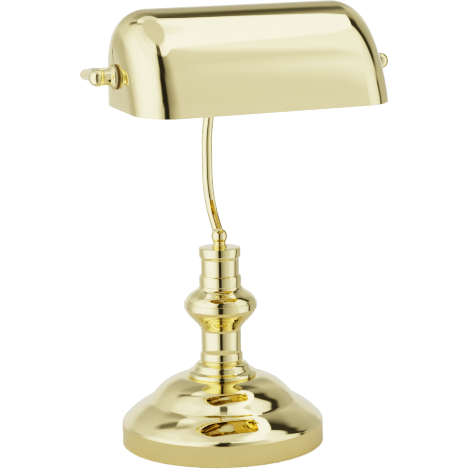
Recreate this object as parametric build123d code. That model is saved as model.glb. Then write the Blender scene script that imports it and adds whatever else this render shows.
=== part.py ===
from build123d import *
import os
from math import sin, cos, tan, radians, sqrt, hypot

# Banker desk lamp: spun brass stepped base and column, one bent arm, a bent
# tube yoke, and a half-trough shade that tilts between two ball knobs.
# Millimetres. +Z up, origin at the centre of the base on the standing plane,
# the column axis is Z. The lamp faces -Y, the shade's long axis lies along X.

os.makedirs("parts", exist_ok=True)

# ---- driving dimensions -------------------------------------------------
BASE_R = 96.2            # skirt radius of the base
SKIRT_H = 21.0           # top of the upright skirt
WALL = 1.2               # spun brass wall
FELT_T = 2.2             # felt under the base
COVER_T = 1.2            # steel cover above the felt
DOME_TOP = 64.6          # flat top of the dome, under the column flange
PIPE_R, PIPE_BORE = 5.0, 3.5      # M10x1 hollow threaded pipe
FLANGE_R, FLANGE_TOP = 33.0, 77.6
FOOT_R, FOOT_Z0, FOOT_Z1 = 20.7, 78.8, 87.4
LOWER_R, LOWER_Z1 = 19.3, 108.3
BAND_R, BAND_Z0, BAND_Z1 = 35.0, 129.6, 136.6
NECK_R, NECK_Z0, NECK_Z1 = 20.3, 151.5, 162.2
UPPER_R, UPPER_Z1 = 18.4, 177.4
CAP_R, CAP_Z1 = 20.1, 188.3
BALL_R, BALL_Z = 8.0, 198.7       # ball socket under the arm
ARM_R, ARM_WALL = 5.4, 1.2        # arm tube
ARM_OUT = 25.4           # how far the arm bows out behind the column axis
BAR_Y, BAR_Z = 5.0, 358.6         # yoke cross tube axis
YOKE_R, YOKE_WALL = 5.2, 1.1      # yoke tube
YOKE_BEND = 12.0
LEG_X = 131.4            # yoke leg axis, each side
PIV_Y, PIV_Z = -59.5, 361.3       # shade pivot axis, along X
SHADE_HALF = 124.2       # outer half length of the shade
SHADE_T = 1.0            # shade wall
SHADE_END_R = 34.0       # rounding between shade body and its ends
# shade section, from the pivot, with its rear wall upright: (y rear +, z)
SHADE_REAR, REAR_TOP = 44.95, 4.5        # rear wall and the top of its straight part
CREST_Y, SHADE_CREST = 5.8, 58.2
SHADE_FRONT, FRONT_Z, FRONT_LEAN = -71.9, -30.3, 1.4
RIM_Z, RIM_SLOPE = -28.6, 1.35           # lower edge under the pivot, and its fall to the front
SHADE_SET = 1.8          # nose-down set of the shade at rest
WASHER_T = 1.3           # fibre and nylon washer, each
BOSS_IN, BOSS_OUT = 126.9, 136.4  # pivot boss, from its flange to its outer face
BOSS_R, BOSS_FLANGE_R = 7.3, 11.05
KNOB_IN, KNOB_X, KNOB_R = 136.6, 140.7, 7.9
NIPPLE_IN, NIPPLE_OUT = 113.4, 141.2
HOLDER_DY, HOLDER_DZ = -12.5, 17.2   # lamp holder axis, from the pivot
LEAD_R = 2.0             # inner flex
INLET_Z, INLET_R = 11.6, 3.9         # cord inlet in the rear of the skirt

# ---- helpers ------------------------------------------------------------
def P(rz):
    return (rz[0], 0, rz[1])

def lathe(segs):
    """Turned solid about Z. segs: ('L', points) straight runs, ('S', points)
    one smooth curve, each starting where the last ended; closed with a line."""
    edges = []
    first = last = None
    for kind, pts in segs:
        pts = [tuple(p) for p in pts]
        if last is not None and hypot(pts[0][0] - last[0], pts[0][1] - last[1]) > 1e-6:
            pts = [last] + pts if kind == 'L' else pts
            if kind == 'S':
                edges.append(Line(P(last), P(pts[0])))
        if first is None:
            first = pts[0]
        if kind == 'L':
            for a, b in zip(pts[:-1], pts[1:]):
                if hypot(a[0] - b[0], a[1] - b[1]) > 1e-6:
                    edges.append(Line(P(a), P(b)))
        else:
            edges.append(Spline(*[P(p) for p in pts]))
        last = pts[-1]
    if hypot(first[0] - last[0], first[1] - last[1]) > 1e-6:
        edges.append(Line(P(last), P(first)))
    return revolve(make_face(edges), Axis.Z, 360)

def inset(pts, t):
    """Points moved t to the left of the direction of travel."""
    out = []
    n = len(pts)
    for i, p in enumerate(pts):
        a = pts[max(i - 1, 0)]
        b = pts[min(i + 1, n - 1)]
        d = hypot(b[0] - a[0], b[1] - a[1])
        out.append((p[0] - (b[1] - a[1]) / d * t, p[1] + (b[0] - a[0]) / d * t))
    return out

def cyl(r, z0, z1, x=0.0, y=0.0):
    return Pos(x, y, (z0 + z1) / 2) * Cylinder(r, abs(z1 - z0))

def cylx(r, x0, x1, y=PIV_Y, z=PIV_Z):
    return Pos((x0 + x1) / 2, y, z) * Rot(0, 90, 0) * Cylinder(r, abs(x1 - x0))

def cyly(r, y0, y1, x=0.0, z=0.0):
    return Pos(x, (y0 + y1) / 2, z) * Rot(90, 0, 0) * Cylinder(r, abs(y1 - y0))

def cone_x(r0, r1, x0, x1, y=PIV_Y, z=PIV_Z):
    """Frustum along X from radius r0 at x0 to r1 at x1."""
    f = Pos(0, y, z) * Rot(0, 90, 0) if x1 > x0 else Pos(0, y, z) * Rot(0, -90, 0)
    h = abs(x1 - x0)
    return f * Pos(0, 0, (x0 + x1) / 2 if x1 > x0 else -(x0 + x1) / 2) * Cone(r0, r1, h)

def hex_prism(af, h):
    return extrude(RegularPolygon(af / 2, 6, major_radius=False), h)

def tube(path, r, rin):
    o = sweep((path ^ 0) * Circle(r), path=path)
    i = sweep((path ^ 0) * Circle(rin), path=path)
    return o - i

PARTS = {}
def keep(name, shape):
    PARTS[name] = shape

# ---- base ---------------------------------------------------------------
# stepped dome: upright skirt, a shallow lower roll, a step, then the bell
lower_roll = [(95.5, 22.1), (93.2, 25.0), (89.5, 28.7), (85.0, 32.4),
              (80.0, 36.0), (75.5, 38.9), (71.6, 41.0)]
bell = [(70.4, 41.9), (68.9, 43.4), (66.3, 46.3), (63.4, 49.7), (60.0, 53.1),
        (55.8, 56.6), (50.2, 60.0), (44.0, 62.6), (38.5, 64.1), (33.0, DOME_TOP)]
roll_in = inset(lower_roll, WALL)
bell_in = inset(bell, WALL)
shell = lathe([
    ('L', [(BASE_R - WALL, 0.7), (BASE_R, 0.7), (BASE_R, SKIRT_H - 0.6), (BASE_R - 0.25, SKIRT_H)]),
    ('S', [(BASE_R - 0.25, SKIRT_H)] + lower_roll),
    ('S', [lower_roll[-1]] + bell),
    ('L', [bell[-1], (PIPE_R + 0.15, DOME_TOP), (PIPE_R + 0.15, DOME_TOP - WALL), (33.0, DOME_TOP - WALL)]),
    ('S', [(33.0, DOME_TOP - WALL)] + bell_in[::-1][1:]),
    ('S', [bell_in[0]] + roll_in[::-1]),
    ('L', [roll_in[0], (BASE_R - WALL, SKIRT_H - 1.4), (BASE_R - WALL, 0.7)]),
])
shell -= cyly(7.0, 80, 110, 0, INLET_Z)          # cord inlet hole, at the rear
keep("base_shell", shell)

# cast iron weight: disc with a hub that reaches the dome and three screw bosses
weight = lathe([('L', [(5.4, 18.0), (79.0, 18.0), (80.5, 19.5), (80.5, 27.0),
                       (76.0, 30.0), (24.0, 32.0), (17.0, 38.0), (15.5, DOME_TOP - WALL),
                       (5.4, DOME_TOP - WALL)])])
SCREW_AT = [(66.0 * cos(radians(a)), 66.0 * sin(radians(a))) for a in (30, 150, 270)]
for sx, sy in SCREW_AT:
    weight += cyl(5.0, FELT_T + COVER_T, 18.5, sx, sy)
    weight -= cyl(2.0, FELT_T + COVER_T, 14.0, sx, sy)
weight -= cyl(1.6, 18.0, 25.0, -34.0, 12.0)      # earth screw hole
weight -= cyl(1.6, 18.0, 25.0, 34.0, 22.5)       # terminal block screw hole
keep("base_weight", weight)

cover = cyl(94.7, FELT_T, FELT_T + COVER_T)
felt = cyl(93.4, 0, FELT_T)
for sx, sy in SCREW_AT:
    cover -= cyl(2.2, 0, 5, sx, sy)
    felt -= cyl(4.6, -1, 5, sx, sy)
keep("base_cover", cover)
keep("felt_pad", felt)

screws = []
for sx, sy in SCREW_AT:
    s = cyl(3.7, 0.4, FELT_T, sx, sy) + cyl(1.95, FELT_T, 12.0, sx, sy)
    s -= Pos(sx, sy, 0.4) * Box(5.6, 1.0, 1.6)
    screws.append(s)
keep("cover_screws", Compound(children=[s.solid() if hasattr(s, "solid") else s for s in screws]))

# rubber grommet in the inlet hole: flange, neck, inner flange, conical nose
def gy(r0, r1, y0, y1):
    return Pos(0, (y0 + y1) / 2, INLET_Z) * Rot(-90, 0, 0) * Cone(r0, r1, abs(y1 - y0))
grommet = gy(8.6, 7.6, BASE_R + 0.02, BASE_R + 2.2) + cyly(6.9, 94.0, BASE_R + 0.1, 0, INLET_Z) \
    + cyly(8.2, 91.6, 94.55, 0, INLET_Z)
grommet += gy(7.2, 5.8, BASE_R + 2.0, BASE_R + 5.6)
grommet -= cyly(INLET_R, 90, 110, 0, INLET_Z)
keep("cord_grommet", grommet)

# threaded pipe, its washer and nut under the weight
PIPE_Z0, PIPE_Z1 = 8.6, 193.4
keep("threaded_pipe", cyl(PIPE_R, PIPE_Z0, PIPE_Z1) - cyl(PIPE_BORE, PIPE_Z0 - 1, PIPE_Z1 + 1))
keep("pipe_washer", cyl(13.0, 16.4, 18.0) - cyl(PIPE_R + 0.15, 15, 19))
keep("pipe_nut", Pos(0, 0, 11.4) * hex_prism(16, 5.0) - cyl(PIPE_R + 0.02, 10, 18))

# three-way terminal block under the weight, held by one screw
TBX, TBY = 34.0, 22.5
block = Pos(TBX, TBY, 13.0) * Box(34, 18, 10)
for k in (-1, 0, 1):
    bx = TBX + (k * 10.0 + (2.6 if k > 0 else (-2.6 if k < 0 else 0)))
    if k == 0:
        continue
    block -= cyly(1.7, TBY - 9.5, TBY + 9.5, bx, 12.2)
    for sy in (-4.6, 4.6):
        block -= cyl(1.6, 7.5, 12.0, bx, TBY + sy)
block -= cyl(1.7, 7, 19, TBX, TBY)
block -= cyl(3.2, 7, 11.0, TBX, TBY)
keep("terminal_block", block)
tscrews = []
for bx in (TBX - 12.6, TBX + 12.6):
    for sy in (-4.6, 4.6):
        s = cyl(1.5, 8.8, 12.4, bx, TBY + sy) - Pos(bx, TBY + sy, 8.8) * Box(2.4, 0.5, 1.2)
        tscrews.append(s)
keep("terminal_screws", Compound(children=[s.solid() for s in tscrews]))
fix = cyl(2.9, 9.0, 11.0, TBX, TBY) + cyl(1.5, 11.0, 24.0, TBX, TBY)
keep("block_screw", fix - Pos(TBX, TBY, 9.0) * Box(4.4, 0.8, 1.4))

# earth tag and its screw
tag = Pos(-34.0, 12.0, 17.6) * Cylinder(4.4, 0.8) + Pos(-42.5, 12.0, 17.6) * Box(13, 4.6, 0.8)
tag += Pos(-49.5, 12.0, 16.6) * Box(5.0, 5.0, 2.8) - cylx(1.3, -55, -45, 12.0, 16.6)
tag -= cyl(1.75, 17, 19, -34.0, 12.0)
keep("earth_tag", tag)
es = cyl(3.4, 14.8, 17.2, -34.0, 12.0) + cyl(1.5, 17.2, 24.0, -34.0, 12.0)
keep("earth_screw", es - Pos(-34.0, 12.0, 14.8) * Box(5.0, 0.9, 1.6))

# ---- column, a stack of turned and spun pieces clamped by the pipe --------
flange = lathe([
    ('L', [(12.0, DOME_TOP), (FLANGE_R - 0.5, DOME_TOP), (FLANGE_R, DOME_TOP + 0.6), (FLANGE_R, DOME_TOP + 2.9)]),
    ('S', [(FLANGE_R, DOME_TOP + 2.9), (32.5, 68.4), (31.4, 69.1), (30.3, 69.4)]),
    ('S', [(30.3, 69.4), (28.9, 69.9), (27.8, 71.0), (27.2, 72.6)]),
    ('L', [(27.2, 72.6), (26.5, 72.6)]),
    ('S', [(26.5, 72.6), (25.6, 74.7), (23.8, 76.6), (21.4, FLANGE_TOP)]),
    ('L', [(21.4, FLANGE_TOP), (PIPE_R + 0.15, FLANGE_TOP), (PIPE_R + 0.15, FLANGE_TOP - 2.6),
           (18.0, FLANGE_TOP - 2.6), (22.0, 71.0), (24.0, 67.2), (12.0, 67.2)]),
])
keep("column_flange", flange)

# recessed seat disc that leaves the groove above the flange
keep("seat_disc", cyl(19.4, FLANGE_TOP, FOOT_Z0) - cyl(PIPE_R + 0.15, 70, 90))

foot = lathe([
    ('L', [(PIPE_R + 0.15, FOOT_Z0), (FOOT_R - 1.2, FOOT_Z0)]),
    ('S', [(FOOT_R - 1.2, FOOT_Z0), (FOOT_R - 0.3, FOOT_Z0 + 0.9), (FOOT_R, FOOT_Z0 + 2.6), (FOOT_R - 0.1, FOOT_Z0 + 5.2),
           (FOOT_R - 0.4, FOOT_Z0 + 7.4), (LOWER_R + 0.3, FOOT_Z1)]),
    ('L', [(LOWER_R + 0.3, FOOT_Z1), (LOWER_R - WALL - 0.1, FOOT_Z1), (LOWER_R - WALL - 0.1, FOOT_Z0 + 2.2),
           (PIPE_R + 0.15, FOOT_Z0 + 2.2)]),
])
keep("foot_ring", foot)

keep("lower_sleeve", cyl(LOWER_R, FOOT_Z1, LOWER_Z1) - cyl(LOWER_R - WALL, FOOT_Z1 - 1, LOWER_Z1 + 1))

bowl_o = [(LOWER_R, LOWER_Z1), (19.6, 110.2), (20.9, 112.4), (23.3, 115.4), (26.9, 119.3), (30.9, 123.8),
          (33.3, 127.4), (34.0, BAND_Z0)]
bowl_i = inset(bowl_o, WALL)
bowl_i[0] = (LOWER_R - WALL, LOWER_Z1)
bowl_i[-1] = (34.0 - WALL, BAND_Z0)
keep("bowl", lathe([('S', bowl_o), ('L', [bowl_o[-1], bowl_i[-1]]), ('S', bowl_i[::-1])]))

band = lathe([
    ('L', [(32.4, BAND_Z0), (34.3, BAND_Z0)]),
    ('S', [(34.3, BAND_Z0), (34.9, BAND_Z0 + 0.5), (BAND_R, BAND_Z0 + 1.4)]),
    ('L', [(BAND_R, BAND_Z0 + 1.4), (BAND_R, BAND_Z1 - 1.4)]),
    ('S', [(BAND_R, BAND_Z1 - 1.4), (34.9, BAND_Z1 - 0.5), (34.3, BAND_Z1)]),
    ('L', [(34.3, BAND_Z1), (32.4, BAND_Z1), (32.4, BAND_Z0)]),
])
keep("waist_band", band)

sh_o = [(33.9, BAND_Z1), (33.2, 138.5), (31.7, 140.9), (29.4, 143.3), (26.2, 145.5), (23.2, 147.6), (21.1, 149.6), (NECK_R - 0.2, NECK_Z0)]
sh_i = inset(sh_o, WALL)
sh_i[0] = (33.9 - WALL, BAND_Z1)
sh_i[-1] = (NECK_R - 0.2 - WALL, NECK_Z0)
keep("shoulder", lathe([('S', sh_o), ('L', [sh_o[-1], sh_i[-1]]), ('S', sh_i[::-1])]))

neck = lathe([
    ('L', [(NECK_R - 0.2, NECK_Z0), (NECK_R, NECK_Z0 + 1.0), (NECK_R, NECK_Z0 + 7.0)]),
    ('S', [(NECK_R, NECK_Z0 + 7.0), (NECK_R - 0.15, NECK_Z0 + 8.6), (NECK_R - 0.8, NECK_Z0 + 10.0), (UPPER_R + 0.5, NECK_Z1)]),
    ('L', [(UPPER_R + 0.5, NECK_Z1), (UPPER_R - WALL, NECK_Z1), (UPPER_R - WALL, NECK_Z0 + 3.0),
           (PIPE_R + 0.15, NECK_Z0 + 3.0), (PIPE_R + 0.15, NECK_Z0 + 1.4), (NECK_R - 1.7, NECK_Z0 + 1.4), (NECK_R - 1.7, NECK_Z0)]),
])
keep("neck_ring", neck)

keep("upper_sleeve", cyl(UPPER_R, NECK_Z1, UPPER_Z1) - cyl(UPPER_R - WALL, NECK_Z1 - 1, UPPER_Z1 + 1))

cap = lathe([
    ('L', [(UPPER_R - WALL, UPPER_Z1), (UPPER_R + 0.3, UPPER_Z1), (UPPER_R + 0.5, UPPER_Z1 + 0.9)]),
    ('S', [(UPPER_R + 0.5, UPPER_Z1 + 0.9), (19.4, UPPER_Z1 + 1.5), (CAP_R, UPPER_Z1 + 2.7)]),
    ('L', [(CAP_R, UPPER_Z1 + 2.7), (CAP_R, CAP_Z1 - 0.9), (CAP_R - 0.3, CAP_Z1 - 0.2), (CAP_R - 0.9, CAP_Z1), (PIPE_R + 0.15, CAP_Z1),
           (PIPE_R + 0.15, CAP_Z1 - 2.2), (UPPER_R - WALL, CAP_Z1 - 2.2)]),
])
keep("column_cap", cap)

# ---- arm ----------------------------------------------------------------
# centre line in the YZ plane: out and back from the ball, then up and forward
LEAN = 36.9              # degrees back from vertical at the ball
k_top = 0.3015           # forward run per unit height at the top
z1 = BALL_Z + ARM_OUT / tan(radians(LEAN))
bar_dir = (0.0, -k_top, 1.0)
z2 = BAR_Z - (ARM_OUT - BAR_Y) / k_top
A0 = (0, 0, BALL_Z)
A1 = (0, ARM_OUT, z1)
A2 = (0, ARM_OUT, z2)
A3 = (0, BAR_Y, BAR_Z)
R1, R2 = 74.0, 92.0
a_dir = Vector(0, sin(radians(LEAN)), cos(radians(LEAN)))
start = Vector(*A0) + a_dir * 3.0
arm_path = FilletPolyline(start, A1, A2, A3, radius=[R1, R2])

bar_cyl = cylx(YOKE_R, -40, 40, BAR_Y, BAR_Z)
arm_solid = sweep((arm_path ^ 0) * Circle(ARM_R), path=arm_path)
arm_bore = sweep((arm_path ^ 0) * Circle(ARM_R - ARM_WALL), path=arm_path)
arm = arm_solid - arm_bore - bar_cyl
keep("arm_tube", max(arm.solids(), key=lambda s: s.volume))

# ball socket: foot collar, waist and ball, bored for the pipe below and the arm above
ball = lathe([
    ('L', [(0, CAP_Z1), (7.0, CAP_Z1), (7.2, CAP_Z1 + 0.4), (7.2, CAP_Z1 + 1.6), (6.9, CAP_Z1 + 2.0)]),
    ('S', [(6.9, CAP_Z1 + 2.0), (6.35, CAP_Z1 + 2.4), (6.05, CAP_Z1 + 3.1), (6.2, CAP_Z1 + 3.9)]),
    ('L', [(6.2, CAP_Z1 + 3.9), (0, CAP_Z1 + 3.9)]),
]) + Pos(0, 0, BALL_Z) * Sphere(BALL_R)
ball -= cyl(PIPE_R, CAP_Z1 - 1, PIPE_Z1)
ball -= cyl(3.4, PIPE_Z1 - 1, BALL_Z + 0.5)
ball -= Pos(0, 0, BALL_Z) * Sphere(4.3)
ball -= arm_solid
ball = max(ball.solids(), key=lambda s: s.volume)
keep("ball_socket", ball)

# ---- yoke ---------------------------------------------------------------
leg_dy = BAR_Y - PIV_Y
leg_dir = Vector(0, PIV_Y - BAR_Y, PIV_Z - BAR_Z).normalized()
leg_end = Vector(0, PIV_Y, PIV_Z) - leg_dir * 4.0
L0 = (-LEG_X, leg_end.Y, leg_end.Z)
L1 = (-LEG_X, BAR_Y, BAR_Z)
L2 = (LEG_X, BAR_Y, BAR_Z)
L3 = (LEG_X, leg_end.Y, leg_end.Z)
yoke_path = FilletPolyline(L0, L1, L2, L3, radius=YOKE_BEND)
yoke_solid = sweep((yoke_path ^ 0) * Circle(YOKE_R), path=yoke_path)
yoke_bore = sweep((yoke_path ^ 0) * Circle(YOKE_R - YOKE_WALL), path=yoke_path)

def boss(s):
    """Pivot boss: flange, cone, barrel, a bead before the ball knob."""
    b = cylx(BOSS_FLANGE_R, s * BOSS_IN, s * (BOSS_IN + 1.3))
    b += cone_x(BOSS_FLANGE_R, BOSS_R + 0.6, s * (BOSS_IN + 1.3), s * (BOSS_IN + 2.8))
    b += cylx(BOSS_R, s * BOSS_IN, s * (BOSS_OUT - 0.9))
    b += cylx(BOSS_R - 0.9, s * BOSS_IN, s * BOSS_OUT)
    return b

outer_boss = {}
for s, side in ((-1, "left"), (1, "right")):
    outer_boss[side] = boss(s)
yoke = yoke_solid - yoke_bore - outer_boss["left"] - outer_boss["right"]
# the leg ends are dressed flat, flush with the inner face of the boss flange
for s in (-1, 1):
    yoke -= cylx(12.5, s * (BOSS_IN - 6), s * BOSS_IN)
    yoke -= cylx(BOSS_R + 0.3, s * (BOSS_OUT - 1.0), s * (BOSS_OUT + 3))
# leads enter from the arm through a hole in the underside
hole_dir = Vector(0, -k_top, 1).normalized()
hole = Plane(origin=Vector(0, BAR_Y, BAR_Z) - hole_dir * 8, z_dir=hole_dir) * Pos(0, 0, 4) * Cylinder(ARM_R - ARM_WALL, 8)
yoke -= hole
yoke = max(yoke.solids(), key=lambda s: s.volume)
keep("yoke_tube", yoke)

for s, side in ((-1, "left"), (1, "right")):
    b = outer_boss[side]
    b -= cylx(PIPE_R + 0.08, s * (BOSS_IN - 1), s * (BOSS_OUT + 1))
    if s < 0:
        q = Plane(origin=Vector(s * LEG_X, PIV_Y, PIV_Z), z_dir=-leg_dir) * Pos(0, 0, 6) * Cylinder(2.9, 12)
        b -= q
    keep(side + "_pivot_boss", b)

# ---- shade --------------------------------------------------------------
def shade_body(off, half, endr, low):
    """Closed half-trough: profile in YZ moved in by off, swept along X and
    rounded at both ends; low is how far down it runs."""
    y_r, z_c, y_f = SHADE_REAR - off, SHADE_CREST - off, SHADE_FRONT + off
    t = radians(FRONT_LEAN)
    hz = z_c - FRONT_Z
    # rear quarter and front quarter as smooth curves tangent at the crest
    c0, c1 = (y_r, REAR_TOP), (y_r, REAR_TOP + (z_c - REAR_TOP) * 0.59)
    c2, c3 = (CREST_Y + (y_r - CREST_Y) * 0.54, z_c), (CREST_Y, z_c)
    f1 = (CREST_Y + (y_f - CREST_Y) * 0.60, z_c)
    f2 = (y_f + sin(t) * hz * 0.22, FRONT_Z + cos(t) * hz * 0.22)
    f3 = (y_f, FRONT_Z)
    down = (y_f - tan(t) * (FRONT_Z - low), low)
    W = lambda p: (0, PIV_Y + p[0], PIV_Z + p[1])
    low_rear = (y_r, low)
    edges = [Line(W(low_rear), W(c0)), Bezier(W(c0), W(c1), W(c2), W(c3)),
             Bezier(W(c3), W(f1), W(f2), W(f3)), Line(W(f3), W(down)), Line(W(down), W(low_rear))]
    f = make_face(edges).face()
    body = extrude(Pos(-half, 0, 0) * f, 2 * half, dir=(1, 0, 0))
    ends = [e for e in body.edges()
            if abs(abs(e.center().X) - half) < 1e-3 and e.center().Z > PIV_Z + low + 1.0]
    return fillet(ends, endr)

LOWEST = -46.0
outer = shade_body(0.0, SHADE_HALF, SHADE_END_R, LOWEST)
inner = shade_body(SHADE_T, SHADE_HALF - SHADE_T, SHADE_END_R - SHADE_T, LOWEST)
hem = shade_body(SHADE_T + 0.9, SHADE_HALF - SHADE_T - 0.9, SHADE_END_R - SHADE_T - 0.9, LOWEST)
pivot = Pos(0, PIV_Y, PIV_Z)
rim = pivot * Rot(RIM_SLOPE, 0, 0)               # frame whose XY plane is parallel to the lower edge
big = Box(400, 300, 100)
above = rim * Pos(0, 0, RIM_Z + 50) * big
hem_zone = rim * Pos(0, 0, RIM_Z + 1.1) * Box(400, 300, 2.2)
above_hem = rim * Pos(0, 0, RIM_Z + 2.2 + 50) * big
shade = (outer & above) - (inner & above_hem) - (hem & hem_zone)
shade = pivot * Rot(SHADE_SET, 0, 0) * Pos(0, -PIV_Y, -PIV_Z) * shade
for s in (-1, 1):
    shade -= cylx(PIPE_R + 0.05, s * 100, s * 130)
keep("shade", shade)

# ---- pivots, each side ---------------------------------------------------
fib, nyl, inw, nuts = [], [], [], []
X1 = SHADE_HALF
X2 = X1 + WASHER_T
X3 = X2 + WASHER_T
XI = SHADE_HALF - SHADE_T
for s, side in ((-1, "left"), (1, "right")):
    fib.append(cylx(10.9, s * X1, s * X2) - cylx(PIPE_R + 0.05, s * 100, s * 130))
    nyl.append(cylx(11.2, s * X2, s * X3) - cylx(PIPE_R + 0.05, s * 100, s * 130))
    inw.append(cylx(9.0, s * XI, s * (XI - 1.4)) - cylx(PIPE_R + 0.05, s * 100, s * 130))
    nip = cylx(PIPE_R, s * NIPPLE_IN, s * NIPPLE_OUT) - cylx(PIPE_BORE, s * (NIPPLE_IN - 1), s * (NIPPLE_OUT + 1))
    if s < 0:
        # window in the rear of the hollow nipple, where the flex turns in
        nip -= Pos(-LEG_X, PIV_Y + 8.5, PIV_Z) * Box(7.4, 20.0, 12.0)
    keep(side + "_pivot_nipple", nip)
    xb = XI - 1.4 - (1.5 if s < 0 else 0.0)
    n = hex_prism(14, 4.0)
    n = Pos(s * xb, PIV_Y, PIV_Z) * Rot(0, -90 * s, 0) * n - cylx(PIPE_R + 0.02, s * 100, s * 125)
    nuts.append(n)
    k = Pos(s * KNOB_X, PIV_Y, PIV_Z) * Rot(0, 90 * s, 0) * Sphere(KNOB_R)
    k &= Pos(s * (KNOB_IN + 15), PIV_Y, PIV_Z) * Box(30, 30, 30)
    k -= cylx(PIPE_R + 0.05, s * (KNOB_IN - 1), s * (NIPPLE_OUT + 0.5))
    keep(side + "_knob", k)
keep("fibre_washers", Compound(children=[x.solid() for x in fib]))
keep("nylon_washers", Compound(children=[x.solid() for x in nyl]))
keep("inner_washers", Compound(children=[x.solid() for x in inw]))
keep("pivot_nuts", Compound(children=[x.solid() for x in nuts]))

# ---- lamp holder and bulb, on a cranked bracket at the left end -----------
reach = hypot(HOLDER_DY, HOLDER_DZ)
uy, uz = HOLDER_DY / reach, HOLDER_DZ / reach
BX = -(XI - 1.4)                 # bracket face against the inner washer
brk_pl = Plane(origin=(0, PIV_Y, PIV_Z), x_dir=(1, 0, 0), z_dir=(0, -uz, uy))
# in this plane local x is +X and local y points from the pivot to the holder axis
prof = [(BX, -9), (BX, 10.6), (BX + 12.0, 10.6), (BX + 12.0, reach + 9.5), (BX + 13.5, reach + 9.5),
        (BX + 13.5, 9.1), (BX + 1.5, 9.1), (BX + 1.5, -9)]
sk = make_face(Polyline(*[(p[0], p[1], 0) for p in prof], close=True))
bracket = brk_pl * extrude(sk, 9.0, both=True)
HY, HZ = PIV_Y + HOLDER_DY, PIV_Z + HOLDER_DZ
bracket -= cylx(PIPE_R + 0.1, -125, BX + 5)
bracket -= cylx(PIPE_R + 0.1, BX + 8, BX + 20, HY, HZ)
keep("holder_bracket", bracket)
HX = BX + 13.5                   # back face of the lamp holder
def hcyl(r, s0, s1):
    return cylx(r, HX + s0, HX + s1, HY, HZ)
keep("holder_nipple", cylx(PIPE_R, HX - 6.6, HX + 6.5, HY, HZ) - cylx(PIPE_BORE, HX - 8, HX + 8, HY, HZ))
keep("holder_nut", Pos(HX - 1.5, HY, HZ) * Rot(0, -90, 0) * hex_prism(14, 3.6) - cylx(PIPE_R + 0.02, HX - 8, HX, HY, HZ))

def lathe_x(segs):
    return Pos(HX, HY, HZ) * Rot(0, 90, 0) * lathe(segs)

hcap = lathe_x([
    ('L', [(PIPE_R + 0.02, 0), (11.5, 0)]),
    ('S', [(11.5, 0), (14.6, 1.2), (17.0, 4.0), (18.6, 8.5), (19.0, 13.0)]),
    ('L', [(19.0, 13.0), (19.0, 18.0), (16.6, 18.0), (16.6, 9.0), (13.4, 3.4), (9.0, 2.6), (PIPE_R + 0.02, 2.6)]),
])
lead_s = 7.6                     # where the flex enters the holder cap
ent = Plane(origin=(HX + lead_s, PIV_Y, PIV_Z), z_dir=(0, uy, uz)) * Pos(0, 0, 6) * Cylinder(LEAD_R + 0.6, 14)
hcap -= ent
keep("holder_cap", hcap)
keep("holder_core", lathe_x([('L', [(2.6, 12.4), (15.4, 12.4), (15.4, 22.0), (14.9, 22.0), (14.9, 19.4), (2.6, 19.4)])]))
keep("centre_contact", lathe_x([('L', [(0, 11.0), (2.5, 11.0), (2.5, 21.2), (0, 21.8)])]))
keep("screw_shell", lathe_x([('L', [(13.5, 19.4), (14.6, 19.4), (14.6, 46.0), (13.5, 46.0)])]))
hbody = lathe_x([
    ('L', [(15.5, 18.0), (19.0, 18.0), (19.6, 19.0), (19.6, 26.0), (18.8, 27.0), (18.8, 50.4), (17.6, 52.0),
           (14.7, 52.0), (14.7, 46.0), (14.7, 22.1), (15.5, 22.1)]),
])
keep("holder_body", hbody)

bcap = lathe_x([('L', [(0, 21.9), (4.2, 21.9), (6.0, 24.0), (12.2, 26.5), (13.3, 28.0), (13.3, 47.0), (13.6, 48.5),
                       (12.6, 48.5), (12.4, 29.0), (5.4, 25.4), (0, 24.6)])])
keep("bulb_cap", bcap)
glass_o = [(12.5, 50.4), (13.0, 56.0), (15.8, 66.0), (22.0, 78.5), (27.6, 91.0), (30.0, 104.0), (28.6, 116.6),
           (22.6, 127.4), (12.4, 133.4), (0.0, 135.0)]
glass = lathe_x([('L', [(0, 30.0), (12.2, 30.0), (12.2, 48.5), (12.5, 48.8), (12.5, 50.4)]), ('S', glass_o),
                 ('L', [(0.0, 135.0), (0, 30.0)])])
glass_i = [(11.7, 52.0), (12.3, 56.4), (15.1, 66.3), (21.3, 78.9), (26.8, 91.2), (29.2, 104.0), (27.9, 116.2),
           (22.1, 126.7), (12.2, 132.6), (0.0, 134.2)]
glass -= lathe_x([('L', [(0, 32.0), (11.4, 32.0), (11.4, 50.0)]), ('S', [(11.4, 50.0)] + glass_i), ('L', [(0, 134.2), (0, 32.0)])])
keep("bulb_glass", glass)

# ---- inner flex ----------------------------------------------------------
# from the terminal block up the pipe and arm, along the yoke and into the pivot
top_in = Vector(0, BAR_Y, BAR_Z)
lead_pts = [Vector(0, 0, PIPE_Z0 + 3.0), Vector(0, 0, BALL_Z), Vector(*A1), Vector(*A2), top_in,
            Vector(-LEG_X, BAR_Y, BAR_Z), Vector(-LEG_X, PIV_Y, PIV_Z), Vector(-(XI + 0.4), PIV_Y, PIV_Z)]
lead_path = FilletPolyline(*lead_pts, radius=[8.0, R1, R2, 5.5, YOKE_BEND, 4.6])
keep("arm_flex", sweep((lead_path ^ 0) * Circle(LEAD_R), path=lead_path))
inner_pts = [Vector(-(XI + 0.2), PIV_Y, PIV_Z), Vector(HX + lead_s, PIV_Y, PIV_Z),
             Vector(HX + lead_s, PIV_Y + uy * 8.5, PIV_Z + uz * 8.5)]
inner_path = FilletPolyline(*inner_pts, radius=5.0)
keep("holder_flex", sweep((inner_path ^ 0) * Circle(LEAD_R), path=inner_path))

# ---- write ----------------------------------------------------------------
for name, shape in PARTS.items():
    export_step(shape, "parts/%s.step" % name)
print(len(PARTS), "nodes")
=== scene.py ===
import math
import bpy
import numpy as np
from math import sin, cos, tan, radians, degrees, sqrt, hypot, pi, atan2
from mathutils import Vector, Matrix


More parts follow.
